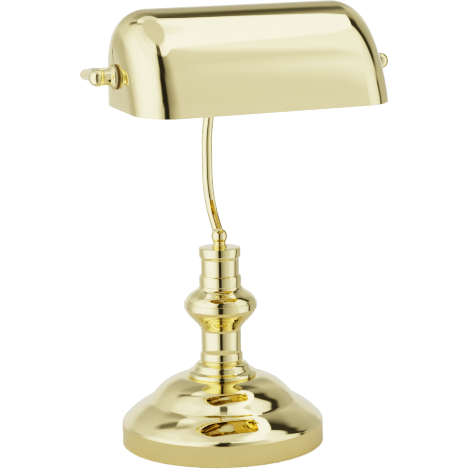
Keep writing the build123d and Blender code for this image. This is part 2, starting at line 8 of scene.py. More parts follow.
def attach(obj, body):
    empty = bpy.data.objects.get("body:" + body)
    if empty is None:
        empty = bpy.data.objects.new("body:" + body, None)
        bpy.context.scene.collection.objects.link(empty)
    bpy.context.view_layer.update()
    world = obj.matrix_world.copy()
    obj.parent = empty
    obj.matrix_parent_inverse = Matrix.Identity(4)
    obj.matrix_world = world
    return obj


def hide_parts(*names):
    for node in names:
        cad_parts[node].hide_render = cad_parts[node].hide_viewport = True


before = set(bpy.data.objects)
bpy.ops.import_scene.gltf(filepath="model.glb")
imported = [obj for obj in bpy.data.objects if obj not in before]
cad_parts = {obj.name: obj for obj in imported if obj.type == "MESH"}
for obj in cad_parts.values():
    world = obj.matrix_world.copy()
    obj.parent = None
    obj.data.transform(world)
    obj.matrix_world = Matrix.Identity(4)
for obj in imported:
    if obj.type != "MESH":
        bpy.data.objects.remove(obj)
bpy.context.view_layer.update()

MM = 0.001
scene = bpy.context.scene

# ---- dimensions, mm, as in the part ---------------------------------------
BASE_R, SKIRT_H, WALL, DOME_TOP = 96.2, 21.0, 1.2, 64.6
PIPE_R = 5.0
FLANGE_R, FLANGE_TOP = 33.0, 77.6
FOOT_R, FOOT_Z0, FOOT_Z1 = 20.7, 78.8, 87.4
LOWER_R, LOWER_Z1 = 19.3, 108.3
BAND_R, BAND_Z0, BAND_Z1 = 35.0, 129.6, 136.6
NECK_R, NECK_Z0, NECK_Z1 = 20.3, 151.5, 162.2
UPPER_R, UPPER_Z1 = 18.4, 177.4
CAP_R, CAP_Z1 = 20.1, 188.3
BALL_R, BALL_Z = 8.0, 198.7
ARM_R, ARM_OUT, LEAN, K_TOP = 5.4, 25.4, 36.9, 0.3015
BAR_Y, BAR_Z = 5.0, 358.6
YOKE_R, YOKE_BEND, LEG_X = 5.2, 12.0, 131.4
PIV_Y, PIV_Z = -59.5, 361.3
SHADE_HALF, SHADE_T, SHADE_END_R = 124.2, 1.0, 34.0
SHADE_REAR, REAR_TOP, CREST_Y, SHADE_CREST = 44.95, 4.5, 5.8, 58.2
SHADE_FRONT, FRONT_Z, FRONT_LEAN = -71.9, -30.3, 1.4
SHADE_RIM, RIM_SLOPE, SHADE_SET = -28.6, 1.35, 1.8
WASHER_T = 1.3
BOSS_IN, BOSS_OUT, BOSS_R, BOSS_FLANGE_R = 126.9, 136.4, 7.3, 11.05
KNOB_IN, KNOB_X, KNOB_R = 136.6, 140.7, 7.9
INLET_Z, INLET_HOLE = 11.6, 7.0

# ---- mesh helpers ----------------------------------------------------------
def spline(pts, step=0.35):
    """Dense points on a natural cubic spline through pts."""
    p = np.asarray(pts, float)
    t = np.concatenate([[0], np.cumsum(np.linalg.norm(np.diff(p, axis=0), axis=1))])
    n = len(p)
    h = np.diff(t)
    A = np.zeros((n, n))
    R = np.zeros((n, p.shape[1]))
    A[0, 0] = A[-1, -1] = 1.0
    for i in range(1, n - 1):
        A[i, i - 1], A[i, i], A[i, i + 1] = h[i - 1], 2 * (h[i - 1] + h[i]), h[i]
        R[i] = 6 * ((p[i + 1] - p[i]) / h[i] - (p[i] - p[i - 1]) / h[i - 1])
    m = np.linalg.solve(A, R)
    out = []
    for i in range(n - 1):
        k = max(2, int(math.ceil(h[i] / step)))
        for j in range(k):
            u = h[i] * j / k
            a, b = h[i] - u, u
            out.append((m[i] * a ** 3 + m[i + 1] * b ** 3) / (6 * h[i])
                       + (p[i] / h[i] - m[i] * h[i] / 6) * a + (p[i + 1] / h[i] - m[i + 1] * h[i] / 6) * b)
    out.append(p[-1])
    return [tuple(q) for q in out]

def inset(pts, t):
    out = []
    n = len(pts)
    for i, p in enumerate(pts):
        a, b = pts[max(i - 1, 0)], pts[min(i + 1, n - 1)]
        d = hypot(b[0] - a[0], b[1] - a[1])
        out.append((p[0] - (b[1] - a[1]) / d * t, p[1] + (b[0] - a[0]) / d * t))
    return out

def section(segs):
    """Closed section from ('L', points) and ('S', points) runs, without repeats."""
    out = []
    for kind, pts in segs:
        for q in (spline(pts) if kind == 'S' else pts):
            q = (float(q[0]), float(q[1]))
            if not out or hypot(q[0] - out[-1][0], q[1] - out[-1][1]) > 1e-5:
                out.append(q)
    if hypot(out[0][0] - out[-1][0], out[0][1] - out[-1][1]) < 1e-5:
        out.pop()
    return out

def arc(cx, cz, r, a0, a1, n=8):
    return [(cx + r * cos(radians(a0 + (a1 - a0) * i / n)), cz + r * sin(radians(a0 + (a1 - a0) * i / n)))
            for i in range(n + 1)]

def make(name, verts, faces, mat=None, body=None, nodes=(), sharp=28.0):
    me = bpy.data.meshes.new(name)
    me.from_pydata([tuple(c * MM for c in v) for v in verts], [], faces)
    me.validate()
    import bmesh
    bm = bmesh.new()
    bm.from_mesh(me)
    bmesh.ops.remove_doubles(bm, verts=bm.verts, dist=1e-7)
    bmesh.ops.dissolve_degenerate(bm, edges=bm.edges, dist=1e-8)
    bmesh.ops.recalc_face_normals(bm, faces=bm.faces)
    bm.to_mesh(me)
    bm.free()
    me.shade_smooth()
    me.set_sharp_from_angle(angle=radians(sharp))
    ob = bpy.data.objects.new(name, me)
    scene.collection.objects.link(ob)
    if mat is not None:
        me.materials.append(mat)
    if body:
        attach(ob, body)
    if nodes:
        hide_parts(*nodes)
    return ob

def ring_faces(nr, seg, closed=True):
    f = []
    for i in range(nr if closed else nr - 1):
        a, b = i * seg, ((i + 1) % nr) * seg
        for j in range(seg):
            k = (j + 1) % seg
            f.append((a + j, a + k, b + k, b + j))
    return f

def turned(sec, seg=240):
    """Vertices and faces of a closed section turned about Z."""
    v = []
    cs = [(cos(2 * pi * j / seg), sin(2 * pi * j / seg)) for j in range(seg)]
    for r, z in sec:
        v += [(r * c, r * s, z) for c, s in cs]
    return v, ring_faces(len(sec), seg)

def turned_x(sec, side, seg=128, y=PIV_Y, z=PIV_Z):
    """Section (radius, |x|) turned about the pivot axis, on one side."""
    v = []
    for r, x in sec:
        v += [(side * x, y + r * cos(2 * pi * j / seg), z + r * sin(2 * pi * j / seg)) for j in range(seg)]
    return v, ring_faces(len(sec), seg)

def soften(sec, r=0.15):
    """Small radius on every corner sharper than 35 degrees of a closed section."""
    out = []
    n = len(sec)
    for i in range(n):
        p, a, b = np.array(sec[i]), np.array(sec[i - 1]), np.array(sec[(i + 1) % n])
        da, db = a - p, b - p
        la, lb = np.linalg.norm(da), np.linalg.norm(db)
        ca = np.dot(da, db) / (la * lb)
        turn = 180 - degrees(math.acos(max(-1, min(1, ca))))
        if turn < 35:
            out.append(tuple(p))
            continue
        k = min(r, la * 0.45, lb * 0.45)
        s, e = p + da / la * k, p + db / lb * k
        for t in (0.0, 0.25, 0.5, 0.75, 1.0):
            q = s * (1 - t) ** 2 + 2 * p * t * (1 - t) + e * t ** 2
            out.append((float(q[0]), float(q[1])))
    return out

# ---- path helpers -----------------------------------------------------------
def filleted(pts, radii, step=1.2):
    """Dense centre line through pts with the corners rounded."""
    P = [np.array(p, float) for p in pts]
    out = [P[0]]
    for i in range(1, len(P) - 1):
        a, p, b, r = P[i - 1], P[i], P[i + 1], radii[i - 1]
        u, w = (a - p) / np.linalg.norm(a - p), (b - p) / np.linalg.norm(b - p)
        ang = math.acos(max(-1, min(1, float(np.dot(u, w)))))
        d = r / tan(ang / 2)
        s, e = p + u * d, p + w * d
        c = p + (u + w) / np.linalg.norm(u + w) * (r / sin(ang / 2))
        n = max(6, int(math.ceil((pi - ang) * r / step)))
        cs, ce = s - c, e - c
        full = pi - ang
        for j in range(n + 1):
            t = j / n
            q = c + (cs * sin((1 - t) * full) + ce * sin(t * full)) / sin(full)
            out.append(q)
    out.append(P[-1])
    return out

def swept(path, radius, normal, seg=96, ends=None):
    """Tube along a flat path. normal is the path plane's normal. ends(k, angle, point, tangent) may move an end ring's vertex."""
    v, f = [], []
    N = np.array(normal, float)
    n = len(path)
    for i, p in enumerate(path):
        a, b = path[max(i - 1, 0)], path[min(i + 1, n - 1)]
        t = b - a
        t = t / np.linalg.norm(t)
        w = np.cross(t, N)
        for j in range(seg):
            th = 2 * pi * j / seg
            q = p + radius * (cos(th) * N + sin(th) * w)
            if ends is not None and i in (0, n - 1):
                q = ends(i, q, p, t)
            v.append(tuple(q))
    f = ring_faces(n, seg, closed=False)
    f.append(tuple(range(seg))[::-1])
    f.append(tuple((n - 1) * seg + j for j in range(seg)))
    return v, f

# ---- materials ---------------------------------------------------------------
def new_mat(name):
    m = bpy.data.materials.new(name)
    m.use_nodes = True
    nt = m.node_tree
    return m, nt, nt.nodes["Principled BSDF"]

def ramp(nt, fac, stops):
    r = nt.nodes.new("ShaderNodeValToRGB")
    e = r.color_ramp.elements
    while len(e) < len(stops):
        e.new(0.5)
    for k, (pos, col) in zip(e, stops):
        k.position = pos
        k.color = (*col, 1) if len(col) == 3 else col
    nt.links.new(fac, r.inputs["Fac"])
    return r.outputs["Color"]

def noise(nt, scale, detail=3.0, rough=0.5, stretch=None):
    tc = nt.nodes.new("ShaderNodeTexCoord")
    out = tc.outputs["Object"]
    if stretch:
        mp = nt.nodes.new("ShaderNodeMapping")
        mp.inputs["Scale"].default_value = stretch
        nt.links.new(out, mp.inputs["Vector"])
        out = mp.outputs["Vector"]
    n = nt.nodes.new("ShaderNodeTexNoise")
    n.inputs["Scale"].default_value = scale
    n.inputs["Detail"].default_value = detail
    n.inputs["Roughness"].default_value = rough
    nt.links.new(out, n.inputs["Vector"])
    return n.outputs["Fac"]

def bump(nt, bsdf, height, strength, distance):
    b = nt.nodes.new("ShaderNodeBump")
    b.inputs["Strength"].default_value = strength
    b.inputs["Distance"].default_value = distance
    nt.links.new(height, b.inputs["Height"])
    nt.links.new(b.outputs["Normal"], bsdf.inputs["Normal"])

def scaled(c, k):
    return tuple(min(1.0, x * k) for x in c)

def metal(name, col, rough, vary=0.03, rvary=0.3, scale=60, bump_scale=0.0, bump_d=0.0, stretch=None):
    m, nt, b = new_mat(name)
    b.inputs["Metallic"].default_value = 1.0
    nt.links.new(ramp(nt, noise(nt, scale, 4, 0.55, stretch), [(0.3, scaled(col, 1 - vary)), (0.7, scaled(col, 1 + vary))]),
                 b.inputs["Base Color"])
    nt.links.new(ramp(nt, noise(nt, scale * 2.3, 3, 0.6, stretch),
                      [(0.3, (rough * (1 - rvary),) * 3), (0.7, (rough * (1 + rvary),) * 3)]), b.inputs["Roughness"])
    if bump_d:
        bump(nt, b, noise(nt, bump_scale, 4, 0.6, stretch), 0.5, bump_d)
    return m

def plain(name, col, rough, vary=0.08, scale=400, bump_d=0.00005, bump_scale=900, spec=0.5, coat=0.0, sheen=0.0, sub=0.0):
    m, nt, b = new_mat(name)
    nt.links.new(ramp(nt, noise(nt, scale, 5, 0.6), [(0.3, scaled(col, 1 - vary)), (0.7, scaled(col, 1 + vary))]),
                 b.inputs["Base Color"])
    nt.links.new(ramp(nt, noise(nt, scale * 1.7, 3, 0.5), [(0.3, (rough * 0.85,) * 3), (0.7, (min(1, rough * 1.15),) * 3)]),
                 b.inputs["Roughness"])
    b.inputs["Specular IOR Level"].default_value = spec
    b.inputs["Coat Weight"].default_value = coat
    b.inputs["Sheen Weight"].default_value = sheen
    if sub:
        b.inputs["Subsurface Weight"].default_value = sub
        b.inputs["Subsurface Radius"].default_value = (0.004, 0.004, 0.004)
    bump(nt, b, noise(nt, bump_scale, 4, 0.6), 0.6, bump_d)
    return m

BRASS = (0.91, 0.79, 0.445)
MAT = {
    "polished_brass": metal("polished_brass", BRASS, 0.035, 0.02, 0.35, 45, 160, 0.000004),
    "polished_brass_base": metal("polished_brass_base", BRASS, 0.035, 0.02, 0.35, 30, 110, 0.000004),
    "shade_brass": metal("shade_brass", BRASS, 0.03, 0.015, 0.35, 25, 60, 0.000006),
    "plain_brass": metal("plain_brass", (0.80, 0.63, 0.30), 0.24, 0.06, 0.3, 300, 700, 0.00002),
    "cast_iron": plain("cast_iron", (0.06, 0.06, 0.06), 0.75, 0.25, 350, 0.0002, 500),
    "zinc_steel": metal("zinc_steel", (0.62, 0.63, 0.65), 0.3, 0.08, 0.3, 500, 900, 0.00002),
    "felt": plain("felt", (0.030, 0.075, 0.045), 0.97, 0.35, 900, 0.0003, 1600, 0.15, 0, 0.4),
    "black_rubber": plain("black_rubber", (0.018, 0.018, 0.018), 0.6, 0.2, 500, 0.00005, 900, 0.4),
    "white_plastic": plain("white_plastic", (0.80, 0.80, 0.76), 0.4),
    "grey_nylon": plain("grey_nylon", (0.60, 0.58, 0.50), 0.45, 0.1, 700),
    "dark_fibre": plain("dark_fibre", (0.27, 0.19, 0.10), 0.5, 0.25, 900, 0.00008, 1400),
    "flex_sheath": plain("flex_sheath", (0.62, 0.52, 0.26), 0.42),
    "ivory_phenolic": plain("ivory_phenolic", (0.70, 0.58, 0.36), 0.28, 0.08, 260, 0.00003, 700, 0.5, 0.1),
    "porcelain": plain("porcelain", (0.84, 0.83, 0.79), 0.16, 0.04, 200, 0.00003, 300, 0.5, 0.3),
    "bulb_metal": metal("bulb_metal", (0.74, 0.74, 0.75), 0.28, 0.05, 0.3, 500, 900, 0.00002),
    "opal_glass": plain("opal_glass", (0.90, 0.90, 0.87), 0.22, 0.02, 120, 0.00002, 300, 0.5, 0.2, 0, 0.25),
}
# CAD nodes keep their slots, and each slot gets its finish
for name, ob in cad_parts.items():
    for i, s in enumerate(ob.material_slots):
        key = s.material.name.split(".")[0] if s.material else None
        if key in MAT:
            s.material = MAT[key]
        else:
            print("slot without finish:", name, key)

BR, BRB, BRS = MAT["polished_brass"], MAT["polished_brass_base"], MAT["shade_brass"]

# ---- base shell ----------------------------------------------------------------
lower_roll = [(95.5, 22.1), (93.2, 25.0), (89.5, 28.7), (85.0, 32.4), (80.0, 36.0), (75.5, 38.9), (71.6, 41.0)]
bell = [(70.4, 41.9), (68.9, 43.4), (66.3, 46.3), (63.4, 49.7), (60.0, 53.1), (55.8, 56.6), (50.2, 60.0),
        (44.0, 62.6), (38.5, 64.1), (33.0, DOME_TOP)]
roll_in, bell_in = inset(lower_roll, WALL), inset(bell, WALL)
HOLE_Z0, HOLE_Z1 = 2.6, 19.0
wall_rows = [0.7, HOLE_Z0] + [HOLE_Z0 + (HOLE_Z1 - HOLE_Z0) * i / 8 for i in range(1, 8)] + [HOLE_Z1]
sec = [(BASE_R, z) for z in wall_rows]
n_wall = len(sec)
rest = section([
    ('L', [(BASE_R, SKIRT_H - 0.7)]),
    ('L', arc(BASE_R - 0.5, SKIRT_H - 0.6, 0.5, 0, 60, 5)),
    ('S', [(BASE_R - 0.25, SKIRT_H - 0.17)] + lower_roll),
    ('S', [lower_roll[-1]] + bell),
    ('L', [bell[-1], (PIPE_R + 0.15, DOME_TOP), (PIPE_R + 0.15, DOME_TOP - WALL), (33.0, DOME_TOP - WALL)]),
    ('S', [(33.0, DOME_TOP - WALL)] + bell_in[::-1][1:]),
    ('S', [bell_in[0]] + roll_in[::-1]),
    ('L', [roll_in[0], (BASE_R - WALL, SKIRT_H - 1.4)]),
])
sec += rest
n_in0 = len(sec)
sec += [(BASE_R - WALL, z) for z in wall_rows[::-1]]
SEG = 360
v, f = turned(sec, SEG)
# cord inlet: a round hole through the skirt at the rear, in a patch of the wall
half_cols = 6
jc = SEG // 4
j0, j1 = jc - half_cols, jc + half_cols
def vid(i, j):
    return i * SEG + (j % SEG)
def cut_patch(f, rows, R):
    """Remove the patch's faces and fill between its edge and the hole. rows go upwards."""
    lo, hi = rows[1], rows[-1]
    inside = set()
    for a, b in zip(rows[1:-1], rows[2:]):
        for j in range(j0, j1):
            inside.add(frozenset((vid(a, j), vid(a, j + 1), vid(b, j + 1), vid(b, j))))
    f = [q for q in f if frozenset(q) not in inside]
    mid = rows[2:-1]
    loop = [vid(lo, j) for j in range(j0, j1 + 1)] + [vid(i, j1) for i in mid] \
        + [vid(hi, j) for j in range(j1, j0 - 1, -1)] + [vid(i, j0) for i in mid[::-1]]
    n = len(loop)
    prev = loop
    for t in (0.35, 0.7, 1.0):
        cur = []
        for k in loop:
            x, y, z = v[k]
            a = atan2(z - INLET_Z, x)
            hx, hz = INLET_HOLE * cos(a), INLET_Z + INLET_HOLE * sin(a)
            px, pz = x + (hx - x) * t, z + (hz - z) * t
            cur.append(len(v))
            v.append((px, sqrt(R * R - px * px), pz))
        for k in range(n):
            f.append((prev[k], prev[(k + 1) % n], cur[(k + 1) % n], cur[k]))
        prev = cur
    return f, prev
rows_out = list(range(n_wall))
rows_inn = list(range(len(sec) - 1, n_in0 - 1, -1))
f, edge_o = cut_patch(f, rows_out, BASE_R)
f, edge_i = cut_patch(f, rows_inn, BASE_R - WALL)
for k in range(len(edge_o)):
    m = (k + 1) % len(edge_o)
    f.append((edge_o[k], edge_o[m], edge_i[m], edge_i[k]))
make("base_shell_body", v, f, BRB, "lamp_stand", ["base_shell"], 32)

# ---- column ---------------------------------------------------------------------
def turned_piece(name, segs, node, seg=240, mat=BR, r=0.12, sharp=30):
    v, f = turned(soften(section(segs), r), seg)
    return make(name, v, f, mat, "lamp_stand", [node], sharp)

turned_piece("column_flange_body", [
    ('L', [(12.0, DOME_TOP), (FLANGE_R - 0.5, DOME_TOP), (FLANGE_R, DOME_TOP + 0.6), (FLANGE_R, DOME_TOP + 2.9)]),
    ('S', [(FLANGE_R, DOME_TOP + 2.9), (32.5, 68.4), (31.4, 69.1), (30.3, 69.4)]),
    ('S', [(30.3, 69.4), (28.9, 69.9), (27.8, 71.0), (27.2, 72.6)]),
    ('L', [(27.2, 72.6), (26.5, 72.6)]),
    ('S', [(26.5, 72.6), (25.6, 74.7), (23.8, 76.6), (21.4, FLANGE_TOP)]),
    ('L', [(21.4, FLANGE_TOP), (PIPE_R + 0.15, FLANGE_TOP), (PIPE_R + 0.15, FLANGE_TOP - 2.6),
           (18.0, FLANGE_TOP - 2.6), (22.0, 71.0), (24.0, 67.2), (12.0, 67.2)]),
], "column_flange")
turned_piece("seat_disc_body", [('L', [(PIPE_R + 0.15, FLANGE_TOP), (19.4, FLANGE_TOP), (19.4, FOOT_Z0), (PIPE_R + 0.15, FOOT_Z0)])],
             "seat_disc")
turned_piece("foot_ring_body", [
    ('L', [(PIPE_R + 0.15, FOOT_Z0), (FOOT_R - 1.2, FOOT_Z0)]),
    ('S', [(FOOT_R - 1.2, FOOT_Z0), (FOOT_R - 0.3, FOOT_Z0 + 0.9), (FOOT_R, FOOT_Z0 + 2.6), (FOOT_R - 0.1, FOOT_Z0 + 5.2),
           (FOOT_R - 0.4, FOOT_Z0 + 7.4), (LOWER_R + 0.3, FOOT_Z1)]),
    ('L', [(LOWER_R + 0.3, FOOT_Z1), (LOWER_R - WALL - 0.1, FOOT_Z1), (LOWER_R - WALL - 0.1, FOOT_Z0 + 2.2),
           (PIPE_R + 0.15, FOOT_Z0 + 2.2)]),
], "foot_ring")
turned_piece("lower_sleeve_body", [('L', [(LOWER_R - WALL, FOOT_Z1), (LOWER_R, FOOT_Z1), (LOWER_R, LOWER_Z1), (LOWER_R - WALL, LOWER_Z1)])],
             "lower_sleeve", r=0.02)
bowl_o = [(LOWER_R, LOWER_Z1), (19.6, 110.2), (20.9, 112.4), (23.3, 115.4), (26.9, 119.3), (30.9, 123.8), (33.3, 127.4), (34.0, BAND_Z0)]
bowl_i = inset(bowl_o, WALL)
bowl_i[0], bowl_i[-1] = (LOWER_R - WALL, LOWER_Z1), (34.0 - WALL, BAND_Z0)
turned_piece("bowl_body", [('S', bowl_o), ('L', [bowl_o[-1], bowl_i[-1]]), ('S', bowl_i[::-1])], "bowl", r=0.02)
turned_piece("waist_band_body", [
    ('L', [(32.4, BAND_Z0), (34.3, BAND_Z0)]),
    ('S', [(34.3, BAND_Z0), (34.9, BAND_Z0 + 0.5), (BAND_R, BAND_Z0 + 1.4)]),
    ('L', [(BAND_R, BAND_Z0 + 1.4), (BAND_R, BAND_Z1 - 1.4)]),
    ('S', [(BAND_R, BAND_Z1 - 1.4), (34.9, BAND_Z1 - 0.5), (34.3, BAND_Z1)]),
    ('L', [(34.3, BAND_Z1), (32.4, BAND_Z1), (32.4, BAND_Z0)]),
], "waist_band")
sh_o = [(33.9, BAND_Z1), (33.2, 138.5), (31.7, 140.9), (29.4, 143.3), (26.2, 145.5), (23.2, 147.6), (21.1, 149.6), (NECK_R - 0.2, NECK_Z0)]
sh_i = inset(sh_o, WALL)
sh_i[0], sh_i[-1] = (33.9 - WALL, BAND_Z1), (NECK_R - 0.2 - WALL, NECK_Z0)
turned_piece("shoulder_body", [('S', sh_o), ('L', [sh_o[-1], sh_i[-1]]), ('S', sh_i[::-1])], "shoulder", r=0.02)
turned_piece("neck_ring_body", [
    ('L', [(NECK_R - 0.2, NECK_Z0), (NECK_R, NECK_Z0 + 1.0), (NECK_R, NECK_Z0 + 7.0)]),
    ('S', [(NECK_R, NECK_Z0 + 7.0), (NECK_R - 0.15, NECK_Z0 + 8.6), (NECK_R - 0.8, NECK_Z0 + 10.0), (UPPER_R + 0.5, NECK_Z1)]),
    ('L', [(UPPER_R + 0.5, NECK_Z1), (UPPER_R - WALL, NECK_Z1), (UPPER_R - WALL, NECK_Z0 + 3.0),
           (PIPE_R + 0.15, NECK_Z0 + 3.0), (PIPE_R + 0.15, NECK_Z0 + 1.4), (NECK_R - 1.7, NECK_Z0 + 1.4), (NECK_R - 1.7, NECK_Z0)]),
], "neck_ring")
turned_piece("upper_sleeve_body", [('L', [(UPPER_R - WALL, NECK_Z1), (UPPER_R, NECK_Z1), (UPPER_R, UPPER_Z1), (UPPER_R - WALL, UPPER_Z1)])],
             "upper_sleeve", r=0.02)
turned_piece("column_cap_body", [
    ('L', [(UPPER_R - WALL, UPPER_Z1), (UPPER_R + 0.3, UPPER_Z1), (UPPER_R + 0.5, UPPER_Z1 + 0.9)]),
    ('S', [(UPPER_R + 0.5, UPPER_Z1 + 0.9), (19.4, UPPER_Z1 + 1.5), (CAP_R, UPPER_Z1 + 2.7)]),
    ('L', [(CAP_R, UPPER_Z1 + 2.7), (CAP_R, CAP_Z1 - 0.9), (CAP_R - 0.3, CAP_Z1 - 0.2), (CAP_R - 0.9, CAP_Z1), (PIPE_R + 0.15, CAP_Z1),
           (PIPE_R + 0.15, CAP_Z1 - 2.2), (UPPER_R - WALL, CAP_Z1 - 2.2)]),
], "column_cap")

# ---- ball socket and arm -----------------------------------------------------------
foot_top = CAP_Z1 + 3.9
ball_join = atan2(-(BALL_Z - foot_top), 6.2)
lo_ang = degrees(math.asin(-(BALL_Z - foot_top) / BALL_R)) if (BALL_Z - foot_top) < BALL_R else -60
ball_sec = section([
    ('L', [(0.0, CAP_Z1), (7.0, CAP_Z1), (7.2, CAP_Z1 + 0.4), (7.2, CAP_Z1 + 1.6), (6.9, CAP_Z1 + 2.0)]),
    ('S', [(6.9, CAP_Z1 + 2.0), (6.35, CAP_Z1 + 2.4), (6.05, CAP_Z1 + 3.1), (6.1, CAP_Z1 + 3.6), (6.2, CAP_Z1 + 3.9)]),
    ('L', [(BALL_R * cos(radians(a)), BALL_Z + BALL_R * sin(radians(a)))
           for a in np.linspace(degrees(math.asin(-sqrt(1 - (6.25 / BALL_R) ** 2))), 90, 60)]),
])
ball_sec[-1] = (0.0, BALL_Z + BALL_R)
v, f = turned(ball_sec, 128)
make("ball_socket_body", v, f, BR, "lamp_stand", ["ball_socket"], 35)

z1 = BALL_Z + ARM_OUT / tan(radians(LEAN))
z2 = BAR_Z - (ARM_OUT - BAR_Y) / K_TOP
a_dir = np.array([0, sin(radians(LEAN)), cos(radians(LEAN))])
start = np.array([0, 0, BALL_Z]) + a_dir * 5.0
arm_path = filleted([start, (0, ARM_OUT, z1), (0, ARM_OUT, z2), (0, BAR_Y, BAR_Z)], [74.0, 92.0])
def arm_end(i, q, p, t):
    if i == 0:
        return q
    # meet the yoke's cross tube: slide back along the arm to its surface
    d = q - np.array([0, BAR_Y, BAR_Z])
    along = float(np.dot(d, t))
    w = d - along * t
    off = hypot(w[1], w[2])
    s = sqrt(max((YOKE_R - 0.15) ** 2 - off ** 2, 0.0))
    return q - t * (along + s)
v, f = swept(arm_path, ARM_R, (1, 0, 0), 96, arm_end)
make("arm_tube_body", v, f, BR, "lamp_stand", ["arm_tube"], 40)

# ---- yoke --------------------------------------------------------------------------
pv = np.array([0.0, PIV_Y, PIV_Z])
bv = np.array([0.0, BAR_Y, BAR_Z])
leg = (pv - bv) / np.linalg.norm(pv - bv)
le = pv - leg * 4.0
yoke_path = filleted([(-LEG_X, le[1], le[2]), (-LEG_X, BAR_Y, BAR_Z), (LEG_X, BAR_Y, BAR_Z), (LEG_X, le[1], le[2])],
                     [YOKE_BEND, YOKE_BEND], 0.9)
yn = np.cross(leg, (1, 0, 0))
yn = yn / np.linalg.norm(yn)
v, f = swept(yoke_path, YOKE_R, yn, 96)
# the leg ends are dressed flat beside the boss flange and behind the knob
v = [(x, y, z) if hypot(y - PIV_Y, z - PIV_Z) > 12.5 else
     (math.copysign(min(max(abs(x), BOSS_IN + 0.02), BOSS_OUT + 0.02), x), y, z) for x, y, z in v]
make("yoke_tube_body", v, f, BR, "lamp_stand", ["yoke_tube"], 40)

for side, s in (("left", -1), ("right", 1)):
    sec = soften([(PIPE_R + 0.08, BOSS_IN), (BOSS_FLANGE_R, BOSS_IN), (BOSS_FLANGE_R, BOSS_IN + 1.3), (BOSS_R + 0.6, BOSS_IN + 2.8),
                  (BOSS_R, BOSS_IN + 3.1), (BOSS_R, BOSS_OUT - 0.9), (BOSS_R - 0.9, BOSS_OUT - 0.75), (BOSS_R - 0.9, BOSS_OUT),
                  (PIPE_R + 0.08, BOSS_OUT)], 0.3)
    v, f = turned_x(sec, s)
    make(side + "_pivot_boss_body", v, f, BR, "lamp_stand", [side + "_pivot_boss"], 32)
    # ball knob, cut flat where it faces the boss
    a0 = degrees(math.asin((KNOB_IN - KNOB_X) / KNOB_R))
    sec = soften(section([('L', [(PIPE_R + 0.05, KNOB_IN)]),
                   ('L', [(KNOB_R * cos(radians(a)), KNOB_X + KNOB_R * sin(radians(a))) for a in np.linspace(a0, 90, 60)]),
                   ('L', [(0.0, KNOB_X + KNOB_R), (0.0, KNOB_X + 0.6), (PIPE_R + 0.05, KNOB_X + 0.6)])]), 0.2)
    v, f = turned_x(sec, s)
    make(side + "_knob_body", v, f, BR, side + "_knob", [side + "_knob"], 35)

X1 = SHADE_HALF
def washers(name, node, r, x0, x1, mat):
    vs, fs = [], []
    for s in (-1, 1):
        v, f = turned_x(soften([(PIPE_R + 0.05, x0), (r, x0), (r, x1), (PIPE_R + 0.05, x1)], 0.25), s)
        fs += [tuple(k + len(vs) for k in q) for q in f]
        vs += v
    return make(name, vs, fs, MAT[mat], "shade_assembly", [node], 32)
washers("fibre_washer_pair", "fibre_washers", 10.9, X1, X1 + WASHER_T, "dark_fibre")
washers("nylon_washer_pair", "nylon_washers", 11.2, X1 + WASHER_T, X1 + 2 * WASHER_T, "grey_nylon")

# ---- shade ---------------------------------------------------------------------------
def bez(c, n):
    t = np.linspace(0, 1, n)[:, None]
    c = np.array(c, float)
    p = (1 - t) ** 3 * c[0] + 3 * (1 - t) ** 2 * t * c[1] + 3 * (1 - t) * t ** 2 * c[2] + t ** 3 * c[3]
    d = 3 * (1 - t) ** 2 * (c[1] - c[0]) + 6 * (1 - t) * t * (c[2] - c[1]) + 3 * t ** 2 * (c[3] - c[2])
    return p, d

lean = radians(FRONT_LEAN)
hz = SHADE_CREST - FRONT_Z
LOWX = SHADE_RIM - 14.0
front_ext = (SHADE_FRONT - tan(lean) * (FRONT_Z - LOWX), LOWX)
pa, da = bez([(SHADE_REAR, REAR_TOP), (SHADE_REAR, REAR_TOP + (SHADE_CREST - REAR_TOP) * 0.59),
              (CREST_Y + (SHADE_REAR - CREST_Y) * 0.54, SHADE_CREST), (CREST_Y, SHADE_CREST)], 400)
pb, db = bez([(CREST_Y, SHADE_CREST), (CREST_Y + (SHADE_FRONT - CREST_Y) * 0.60, SHADE_CREST),
              (SHADE_FRONT + sin(lean) * hz * 0.22, FRONT_Z + cos(lean) * hz * 0.22), (SHADE_FRONT, FRONT_Z)], 700)
l0 = np.linspace((SHADE_REAR, LOWX), (SHADE_REAR, REAR_TOP), 60)[:-1]
l1 = np.linspace((SHADE_FRONT, FRONT_Z), front_ext, 30)[1:]
prof = np.vstack([l0, pa, pb[1:], l1])
tang = np.vstack([np.tile((0.0, 1.0), (len(l0), 1)), da, db[1:], np.tile((-sin(lean), -cos(lean)), (len(l1), 1))])
tang = tang / np.linalg.norm(tang, axis=1)[:, None]
